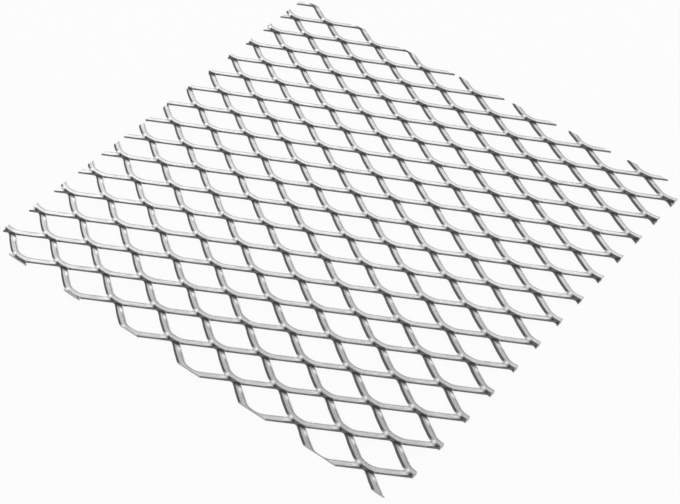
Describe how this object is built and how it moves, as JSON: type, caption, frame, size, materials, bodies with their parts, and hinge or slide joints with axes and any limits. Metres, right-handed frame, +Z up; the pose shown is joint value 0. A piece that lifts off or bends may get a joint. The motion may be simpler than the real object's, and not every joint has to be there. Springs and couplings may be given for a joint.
{
  "type": "expanded metal sheet",
  "caption": "Flat panel of raised diamond mesh, slit and stretched from a single steel plate and cut to size, for guards, screens and grilles.",
  "frame": {"origin": "middle of the bounding box, on the floor that the sheet lies on", "axes": "+Z up out of the floor; +X along the long way of the diamonds; +Y along the short way, away from the edge that is nearest in the picture"},
  "size_m": [0.317, 0.3247, 0.0032],
  "materials": {
    "galvanised_steel": "bright, uncoated"
  },
  "bodies": {
    "root": {"expanded_sheet": "galvanised_steel"}
  },
  "joints": []
}
